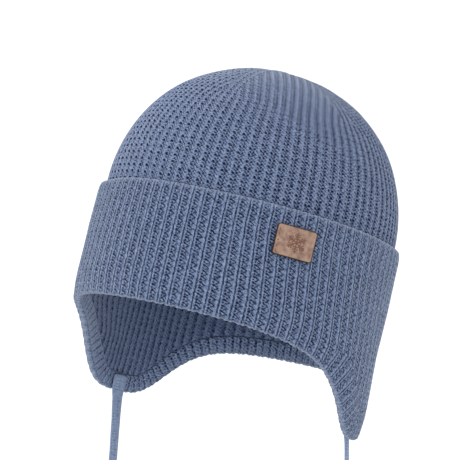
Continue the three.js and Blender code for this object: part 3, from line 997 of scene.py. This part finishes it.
def make_tie(name, materials):
    """Sweeps a flat oval down the route, wide where it is sewn on and narrower as it hangs."""
    route = TIE_ROUTES[name]
    centres, at = smooth_route(route, TIE_STEP)
    along = np.gradient(centres, axis=0)
    along /= np.linalg.norm(along, axis=1, keepdims=True)
    outward = np.array([route[0][0] / HALF_WIDTH ** 2, route[0][1] / HALF_LENGTH ** 2, 0.0])
    outward /= np.linalg.norm(outward)
    shell = Shell()
    period = np.array([TIE_PITCH * TIE_REPEATS, 0.0])
    turns = 2 * np.pi * np.arange(TIE_SIDES) / TIE_SIDES
    c, s = np.cos(turns), np.sin(turns)
    for centre, direction, travel in zip(centres, along, at):
        face = outward - direction * outward.dot(direction)
        face /= np.linalg.norm(face)
        wide = np.cross(direction, face)
        top_share = TOP_TAPER.share + travel / TOP_TAPER.run
        ends = min(1.0, top_share, END_TAPER.share + (at[-1] - travel) / END_TAPER.run)
        width = np.interp(travel, TIE_TRAVELS, TIE_WIDTHS) / 2 * (1 - TIE_NARROWING * (1 - ends))
        x = np.sign(c) * np.abs(c) ** TIE_SQUARE_WIDE * width
        y = np.sign(s) * np.abs(s) ** TIE_SQUARE_THICK * TIE_THICKNESS / 2 * ends
        places = pair(turns / (2 * np.pi) * period[0], travel)
        sink = dents(TIE_MARKS, places, TIE_PITCH, TIE_ROW)
        points = centre + wide * x[:, None] + face * (y - np.sign(y) * sink)[:, None]
        begun = shell.last is not None
        ring, _ = shell.follow(points, places, period, own_layout)
        if not begun:
            cap = shell.ring(centre[None] - direction * CAP_RISE)[0]
            shell.fan(cap, ring[::-1], 0.0, places[::-1].copy(), -period, own_layout)
    cap = shell.ring(centres[-1][None] + along[-1] * CAP_RISE)[0]
    shell.fan(cap, ring, at[-1], places, period, own_layout)
    return shell.mesh(name + "_knit", materials), centres * MM, at[-1] * MM


# Materials

# The pale blue that the painted highlights on the fold, the rim and the hem mix towards
PAINTED_HIGHLIGHT_COLOUR = "A5B4CE"


def add_node(tree, kind, sockets=None, **settings):
    """Adds a node, sets its options, and fills its inputs with other nodes' outputs or with values."""
    made = tree.nodes.new("ShaderNode" + kind)
    for key, value in settings.items():
        setattr(made, key, value)
    for key, value in (sockets or {}).items():
        if isinstance(value, bpy.types.NodeSocket):
            tree.links.new(value, made.inputs[key])
        else:
            made.inputs[key].default_value = value
    return made


def new_material(name):
    material = bpy.data.materials.new(name)
    material.use_nodes = True
    tree = material.node_tree
    tree.nodes.clear()
    return material, tree


def paint_ramp(ramp, stops):
    """Gives a colour ramp its stops, as places and sRGB hex values."""
    elements = ramp.color_ramp.elements
    while len(elements) < len(stops):
        elements.new(0.5)
    for element, (position, hex_value) in zip(elements, stops):
        element.position = position
        element.color = colour(hex_value)


def mark_mask(tree, place, mark, pitch, row):
    """Draws one mark of a table in every repeat of the knit: 1 in its middle, 0 outside it."""
    moved = add_node(tree, "VectorMath", {0: place, 1: (mark.across, mark.down, 0)}, operation="SUBTRACT")
    low, high = (-pitch / 2, -row / 2, -1), (pitch / 2, row / 2, 1)
    cell = add_node(tree, "VectorMath", {0: moved.outputs[0], 1: high, 2: low}, operation="WRAP")
    oval = {"Rotation": (0, 0, math.radians(mark.tilt)), "Scale": (mark.width, mark.height, 1)}
    oval = add_node(tree, "Mapping", {"Vector": cell.outputs[0], **oval}, vector_type="TEXTURE")
    reach = add_node(tree, "VectorMath", {0: oval.outputs[0]}, operation="LENGTH")
    fade = {"From Min": SOFT_FROM, "From Max": SOFT_TO, "To Min": 1.0, "To Max": 0.0}
    fade["Value"] = reach.outputs["Value"]
    return add_node(tree, "MapRange", fade, interpolation_type="SMOOTHSTEP").outputs[0]


# Nearly all of a noise texture's values lie in this span
NOISE_SPAN = {"From Min": 0.3, "From Max": 0.7}

PLY_WIDTH = 0.67
PLY_LENGTH = 1.8
PLY_SLANT = 42
PLY_RANGE = 0.26
PLY_BUMP = 0.30
WARP_SIZE = 1.6
WARP_REACH = 0.9
SPECK_SIZE = 0.75
SPECK_RANGE = 0.20
SPECK_BUMP = 0.20
PATCHY_SIZE = 5.0
PATCHY_RANGE = 0.3


def knit_material(name, marks, pitch, row, tones, contrast=1.0, plain_tone=0.28):
    """Wool spun in plies: matt, with a soft halo of fibres that pales at grazing angles."""
    material, tree = new_material(name)
    uv = add_node(tree, "UVMap", uv_map="knit").outputs[0]
    stitch = add_node(tree, "Attribute", attribute_name="stitch").outputs["Fac"]
    painted_highlight = add_node(tree, "Attribute", attribute_name="painted_highlight").outputs["Fac"]
    spot = add_node(tree, "TexCoord").outputs["Object"]
    # No two stitches are alike, so each mark's place wanders by about a quarter of a millimetre
    wander = {"Vector": spot, "Scale": 1 / (WARP_SIZE * MM), "Detail": 1.0}
    wander = add_node(tree, "TexNoise", wander).outputs["Color"]
    wander = add_node(tree, "VectorMath", {0: wander, 1: (0.5, 0.5, 0.5)}, operation="SUBTRACT").outputs[0]
    reach = (WARP_REACH, WARP_REACH, 0)
    place = {0: wander, 1: reach, 2: uv}
    place = add_node(tree, "VectorMath", place, operation="MULTIPLY_ADD").outputs[0]
    dark = height = 0.0
    # By its darkness each mark paints shade into the knit's holes and trenches, and a highlight where that
    # is below zero; by its bump it dents the shading
    for mark in marks:
        mask = mark_mask(tree, place, mark, pitch, row)
        if mark.stitch:
            mask = add_node(tree, "Math", {0: mask, 1: stitch}, operation="MULTIPLY").outputs[0]
        darker = {0: mask, 1: mark.dark * contrast, 2: dark}
        dark = add_node(tree, "Math", darker, operation="MULTIPLY_ADD").outputs[0]
        lower = {0: mask, 1: -mark.bump * contrast, 2: height}
        height = add_node(tree, "Math", lower, operation="MULTIPLY_ADD").outputs[0]
    # The painted shade of the marks grows and weakens at random, in patches of about five millimetres
    patchy = {"Vector": spot, "Scale": 1 / (PATCHY_SIZE * MM), "Detail": 2.0}
    patchy = add_node(tree, "TexNoise", patchy).outputs[0]
    strength = {"Value": patchy, **NOISE_SPAN, "To Min": 1 - PATCHY_RANGE, "To Max": 1 + PATCHY_RANGE}
    strength = add_node(tree, "MapRange", strength).outputs[0]
    dark = {0: dark, 1: strength, 2: plain_tone}
    dark = add_node(tree, "Math", dark, operation="MULTIPLY_ADD").outputs[0]
    # The slanting plies, and specks for the single fibres, which are too fine for the render
    slant = {"Rotation": (0, 0, math.radians(PLY_SLANT)), "Scale": (PLY_LENGTH, PLY_WIDTH, 1)}
    slant["Vector"] = place
    slant = add_node(tree, "Mapping", slant, vector_type="TEXTURE").outputs[0]
    plies = add_node(tree, "TexNoise", {"Vector": slant, "Scale": 1.0, "Detail": 1.5}).outputs[0]
    ply_reach = PLY_RANGE * contrast
    ply_tone = {"Value": plies, **NOISE_SPAN, "To Min": ply_reach, "To Max": -ply_reach}
    ply_tone = add_node(tree, "MapRange", ply_tone, clamp=False).outputs[0]
    specks = {"Vector": spot, "Scale": 1 / (SPECK_SIZE * MM), "Detail": 2.0, "Roughness": 0.6}
    specks = add_node(tree, "TexNoise", specks).outputs[0]
    speck_reach = SPECK_RANGE * contrast
    speck_tone = {"Value": specks, **NOISE_SPAN, "To Min": speck_reach, "To Max": -speck_reach}
    speck_tone = add_node(tree, "MapRange", speck_tone, clamp=False).outputs[0]
    total = add_node(tree, "Math", {0: dark, 1: ply_tone}, operation="ADD").outputs[0]
    total = add_node(tree, "Math", {0: total, 1: speck_tone}, operation="ADD", use_clamp=True).outputs[0]
    wool = add_node(tree, "ValToRGB", {0: total})
    paint_ramp(wool, tones)
    # Painted highlight: the wool mixes towards a pale blue by the value kept on each point
    edge = {0: painted_highlight, 6: wool.outputs[0], 7: colour(PAINTED_HIGHLIGHT_COLOUR)}
    edge = add_node(tree, "Mix", edge, data_type="RGBA").outputs[2]
    rough = {0: plies, 1: PLY_BUMP, 2: height}
    rough = add_node(tree, "Math", rough, operation="MULTIPLY_ADD").outputs[0]
    rough = {0: specks, 1: SPECK_BUMP, 2: rough}
    rough = add_node(tree, "Math", rough, operation="MULTIPLY_ADD").outputs[0]
    bump = add_node(tree, "Bump", {"Strength": 1.0, "Distance": MM, "Height": rough}).outputs[0]
    shader = add_node(
        tree, "BsdfPrincipled",
        {
            "Base Color": edge, "Roughness": 0.92, "Specular IOR Level": 0.15, "Normal": bump,
            "Sheen Weight": 0.9, "Sheen Roughness": 0.35, "Sheen Tint": colour("D5DCE6"),
        },
    )
    add_node(tree, "OutputMaterial", {"Surface": shader.outputs[0]})
    return material


CLOUD_SIZE = 3.0
CLOUD_BUMP = 0.25
GRAIN_SIZE = 0.35
GRAIN_DEPTH = 0.12


def leather_material():
    """Vegetable-tanned leather: a matt tan face with a fine pebbled grain, cut edges burnt dark."""
    material, tree = new_material("vegetable_tanned_leather")
    spot = add_node(tree, "TexCoord").outputs["Object"]
    burnt = add_node(tree, "Attribute", attribute_name="burnt").outputs["Fac"]
    crystal = add_node(tree, "Attribute", attribute_name="crystal").outputs["Fac"]
    # Hide takes the dye unevenly, in clouds of about three millimetres, and has a fine pebbled grain
    clouds = {"Vector": spot, "Scale": 1 / (CLOUD_SIZE * MM), "Detail": 3.0, "Roughness": 0.6}
    clouds = add_node(tree, "TexNoise", clouds).outputs[0]
    face = add_node(tree, "ValToRGB", {0: clouds})
    paint_ramp(face, [(0.34, "957567"), (0.5, "B39281"), (0.66, "C3A28C")])
    grain = add_node(tree, "TexVoronoi", {"Vector": spot, "Scale": 1 / (GRAIN_SIZE * MM)})
    grain = grain.outputs["Distance"]
    worn = add_node(tree, "Mix", {0: crystal, 6: face.outputs[0], 7: colour("7E5846")}, data_type="RGBA")
    charred = add_node(tree, "Mix", {0: burnt, 6: worn.outputs[2], 7: colour("2E211F")}, data_type="RGBA")
    rough = {0: clouds, 1: CLOUD_BUMP, 2: grain}
    rough = add_node(tree, "Math", rough, operation="MULTIPLY_ADD").outputs[0]
    bump = {"Strength": 0.35, "Distance": GRAIN_DEPTH * MM, "Height": rough}
    bump = add_node(tree, "Bump", bump).outputs[0]
    shader = add_node(
        tree, "BsdfPrincipled",
        {"Base Color": charred.outputs[2], "Roughness": 0.62, "Specular IOR Level": 0.35, "Normal": bump},
    )
    add_node(tree, "OutputMaterial", {"Surface": shader.outputs[0]})
    return material


STRAND_SIZE = 0.3


def thread_material():
    """Waxed sewing thread, sunk in its holes: dull brown, darkened by the wax."""
    material, tree = new_material("waxed_thread")
    spot = add_node(tree, "TexCoord").outputs["Object"]
    strands = {"Vector": spot, "Scale": 1 / (STRAND_SIZE * MM), "Detail": 1.0}
    strands = add_node(tree, "TexNoise", strands).outputs[0]
    tone = add_node(tree, "ValToRGB", {0: strands})
    paint_ramp(tone, [(0.3, "6B5138"), (0.7, "8E6E50")])
    shader = add_node(tree, "BsdfPrincipled", {"Base Color": tone.outputs[0], "Roughness": 0.7})
    add_node(tree, "OutputMaterial", {"Surface": shader.outputs[0]})
    return material


# The patch: a plate of leather, a snow crystal singed into its face, bent and sewn to the cuff

PATCH_ANGLE = 52.6
PATCH_DEPTH = 17.6
PATCH_WIDTH = 22.0
PATCH_HEIGHT = 17.0
PATCH_THICKNESS = 1.4
PATCH_CORNER = 1.6
PATCH_CELL = 0.2
PATCH_SEAT = CUFF_FACE + 0.35 + GAP
CRYSTAL_ARM = 5.4
CRYSTAL_LINE = 0.156
CRYSTAL_FADE = 0.442
CRYSTAL_TWIGS = [(1.7, 1.1), (2.9, 1.7), (4.1, 1.0)]
CRYSTAL_ACROSS = 0.6
BURNT_FROM = 0.25
BURNT_TO = 0.75
THREAD_RADIUS = 0.28
STITCH_LENGTH = 1.5
STITCH_BEND = 0.35
STITCH_DIP = 0.45
STITCH_DIP_RUN = (0.3, 0.8)
STITCH_SUNK = 0.05
STITCH_ACROSS = -9.3
STITCH_HEIGHTS = [5.3, 2.7, -0.6, -3.7, -6.6]


def crystal_mark(x, y):
    """1 on the lines of a six-armed snow crystal with three pairs of twigs, 0 off them."""
    radius = np.hypot(x, y)
    fold = np.abs(wrap(np.degrees(np.arctan2(x, y)), 60))
    u = radius * np.cos(np.radians(fold))
    v = radius * np.sin(np.radians(fold))
    nearest = np.hypot(u - np.clip(u, 0, CRYSTAL_ARM), v)
    for start, reach in CRYSTAL_TWIGS:
        way = (math.cos(math.radians(60)), math.sin(math.radians(60)))
        travel = np.clip((u - start) * way[0] + v * way[1], 0, reach)
        nearest = np.minimum(nearest, np.hypot(u - start - travel * way[0], v - travel * way[1]))
    return 1 - ease(CRYSTAL_LINE, CRYSTAL_FADE, nearest)


def bend_to_cuff(points):
    """Moves flat points, across, up and out, onto the cuff at the patch's place."""
    middle = math.radians(PATCH_ANGLE)
    speed = math.hypot(HALF_WIDTH * math.cos(middle), HALF_LENGTH * math.sin(middle))
    angle = PATCH_ANGLE + np.degrees(points[:, 0] / speed)
    return on_oval(angle, PATCH_SEAT + points[:, 2], PATCH_DEPTH - points[:, 1])


def vertex_array(data):
    flat = np.empty(len(data.vertices) * 3)
    data.vertices.foreach_get("co", flat)
    return flat.reshape(-1, 3)


def round_corners(points):
    """Draws each square corner of the sheet in to a quarter circle."""
    for axis_sign_x in (-1, 1):
        for axis_sign_y in (-1, 1):
            corner = np.array([PATCH_WIDTH / 2 - PATCH_CORNER, PATCH_HEIGHT / 2 - PATCH_CORNER])
            signs = np.array([axis_sign_x, axis_sign_y])
            past = points[:, :2] * signs - corner
            inside = (past > 0).all(axis=1)
            longest = past.max(axis=1)
            reach = np.hypot(past[:, 0], past[:, 1])
            scale = np.where(inside, longest / np.maximum(reach, 1e-9), 1.0)
            moved = (corner + past * scale[:, None]) * signs
            points[:, :2] = np.where(inside[:, None], moved, points[:, :2])
    return points


def edge_distance(points):
    """How far each flat point lies inside the patch's outline."""
    past = np.abs(points[:, :2]) - [PATCH_WIDTH / 2 - PATCH_CORNER, PATCH_HEIGHT / 2 - PATCH_CORNER]
    return PATCH_CORNER - np.hypot(*np.maximum(past, 0).T) - np.minimum(past.max(axis=1), 0)


def make_plate(leather):
    """The plate of leather, flat, with round corners, burnt edges and the crystal on its face."""
    columns, rows = round(PATCH_WIDTH / PATCH_CELL), round(PATCH_HEIGHT / PATCH_CELL)
    bpy.ops.mesh.primitive_grid_add(x_subdivisions=columns, y_subdivisions=rows, size=1)
    plate = bpy.context.object
    plate.name = "leather_patch"
    plate.scale = (PATCH_WIDTH, PATCH_HEIGHT, 1)
    bpy.ops.object.transform_apply(scale=True)
    points = round_corners(vertex_array(plate.data))
    plate.data.vertices.foreach_set("co", points.ravel())
    bpy.ops.object.mode_set(mode="EDIT")
    bpy.ops.mesh.select_all(action="SELECT")
    for rise in (PATCH_THICKNESS / 2, PATCH_THICKNESS / 2):
        bpy.ops.mesh.extrude_region_move(TRANSFORM_OT_translate={"value": (0, 0, rise)})
    bpy.ops.mesh.select_all(action="SELECT")
    bpy.ops.mesh.normals_make_consistent(inside=False)
    bpy.ops.object.mode_set(mode="OBJECT")
    points = vertex_array(plate.data)
    from_edge = edge_distance(points)
    on_top = points[:, 2] > PATCH_THICKNESS * 0.9
    crystal = np.where(on_top, crystal_mark(points[:, 0] - CRYSTAL_ACROSS, points[:, 1]), 0.0)
    burnt = np.where(on_top, 1 - ease(BURNT_FROM, BURNT_TO, from_edge), 1.0)
    for key, values in (("burnt", burnt), ("crystal", crystal)):
        attribute = plate.data.attributes.new(key, "FLOAT", "POINT")
        attribute.data.foreach_set("value", values.astype(np.float32))
    plate.data.materials.append(leather)
    bpy.ops.object.shade_smooth_by_angle(angle=math.radians(50))
    return plate


def make_stitch(height, thread):
    """A short stitch: a bar of thread whose ends dip into the leather."""
    turned = (math.pi / 2, 0, 0)
    bpy.ops.mesh.primitive_cylinder_add(
        vertices=10, radius=THREAD_RADIUS, depth=STITCH_LENGTH, rotation=turned,
    )
    stitch = bpy.context.object
    bpy.ops.object.transform_apply(rotation=True)
    bpy.ops.object.mode_set(mode="EDIT")
    for cut in (STITCH_BEND, -STITCH_BEND):
        bpy.ops.mesh.select_all(action="SELECT")
        bpy.ops.mesh.bisect(plane_co=(0, cut, 0), plane_no=(0, 1, 0))
    bpy.ops.object.mode_set(mode="OBJECT")
    bar = vertex_array(stitch.data)
    bar[:, 2] += PATCH_THICKNESS - STITCH_SUNK - STITCH_DIP * ease(*STITCH_DIP_RUN, np.abs(bar[:, 1]))
    bar[:, 0] += STITCH_ACROSS
    bar[:, 1] += height
    stitch.data.vertices.foreach_set("co", bar.ravel())
    stitch.data.materials.append(thread)
    bpy.ops.object.shade_smooth()
    return stitch


def make_patch(leather, thread):
    """The plate with its stitches along one side, joined and bent to the cuff."""
    patch = make_plate(leather)
    stitches = [make_stitch(height, thread) for height in STITCH_HEIGHTS]
    bpy.ops.object.select_all(action="DESELECT")
    for piece in (*stitches, patch):
        piece.select_set(True)
    bpy.context.view_layer.objects.active = patch
    bpy.ops.object.join()
    patch.data.vertices.foreach_set("co", (bend_to_cuff(vertex_array(patch.data)) * MM).ravel())
    patch.data.update()
    bpy.ops.object.select_all(action="DESELECT")
    return patch


# Build

CROWN_TONES = [(0.0, "9EAECD"), (0.25, "8899BB"), (0.6, "4A5A80"), (1.0, "15213E")]
CUFF_TONES = [(0.0, "9EAECD"), (0.25, "8495B6"), (0.6, "465679"), (1.0, "15213E")]
# The inside's tones are a shade darker than the crown's: painted shade for the hollow of the hat
SHADED_INSIDE_TONES = [(0.0, "92A1BF"), (0.25, "7888A9"), (0.6, "3E4D6F"), (1.0, "121C38")]
HEM_TONES = [(0.0, "A6B7D6"), (0.25, "8A9BBD"), (0.6, "44557A"), (1.0, "121D3A")]
TIE_TONES = [(0.0, "B9C9E6"), (0.3, "A2B5D6"), (0.7, "7688AD"), (1.0, "3C4C75")]

crown_wool = knit_material("wool_rib_crown", CROWN_MARKS, RIB_PITCH, CROWN_ROW, CROWN_TONES)
inside_wool = knit_material("wool_rib_inside", INSIDE_MARKS, RIB_PITCH, CROWN_ROW, SHADED_INSIDE_TONES, 0.7)
cuff_wool = knit_material("wool_rib_cuff", CUFF_MARKS, RIB_PITCH, CUFF_ROW, CUFF_TONES)
hem_wool = knit_material("wool_rib_hem", HEM_MARKS, HEM_PITCH, HEM_ROW, HEM_TONES)
tie_wool = knit_material("wool_tie", TIE_MARKS, TIE_PITCH, TIE_ROW, TIE_TONES, 0.7)

crown = make_crown([crown_wool, inside_wool])
cuff = make_cuff([cuff_wool, hem_wool])
left_tie, left_path, left_length = make_tie("tie_left", [tie_wool])
right_tie, right_path, right_length = make_tie("tie_right", [tie_wool])
patch = make_patch(leather_material(), thread_material())

for piece, node, slot in (
    (crown, "crown", "inner_knit"),
    (cuff, "cuff", "knit"),
    (patch, "patch", "leather"),
    (left_tie, "tie_left", "tie_knit"),
    (right_tie, "tie_right", "tie_knit"),
):
    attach(piece, "root")
    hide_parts(node)


# Floor, light and background

FLOOR_SIZE = 8
FLOOR_HEIGHT = -0.46
SHADE_SIDE = (0.86, -0.05, -0.50)
SHADE_FROM = -0.2
ROOM_LIGHT = 1.16
SHADE_LIGHT = 0.36


def make_stage():
    bpy.ops.mesh.primitive_plane_add(size=FLOOR_SIZE, location=(0, 0, FLOOR_HEIGHT))
    floor = bpy.context.object
    floor.name = "floor"
    material, tree = new_material("floor_paper")
    shader = add_node(tree, "BsdfPrincipled", {"Base Color": colour("E6E6E6"), "Roughness": 0.9})
    add_node(tree, "OutputMaterial", {"Surface": shader.outputs[0]})
    floor.data.materials.append(material)
    # A white room, dimmer on the wearer's left and below, where the photograph's shade lies
    world = bpy.data.worlds.new("studio")
    world.use_nodes = True
    tree = world.node_tree
    direction = add_node(tree, "TexCoord").outputs["Generated"]
    towards = {0: direction, 1: Vector(SHADE_SIDE).normalized()}
    towards = add_node(tree, "VectorMath", towards, operation="DOT_PRODUCT").outputs["Value"]
    strength = {"Value": towards, "From Min": SHADE_FROM, "From Max": 1.0}
    strength.update({"To Min": ROOM_LIGHT, "To Max": SHADE_LIGHT})
    strength = add_node(tree, "MapRange", strength).outputs[0]
    background = tree.nodes["Background"]
    background.inputs["Color"].default_value = (1, 1, 1, 1)
    tree.links.new(strength, background.inputs["Strength"])
    bpy.context.scene.world = world
    bpy.context.scene.view_settings.view_transform = "Standard"


make_stage()
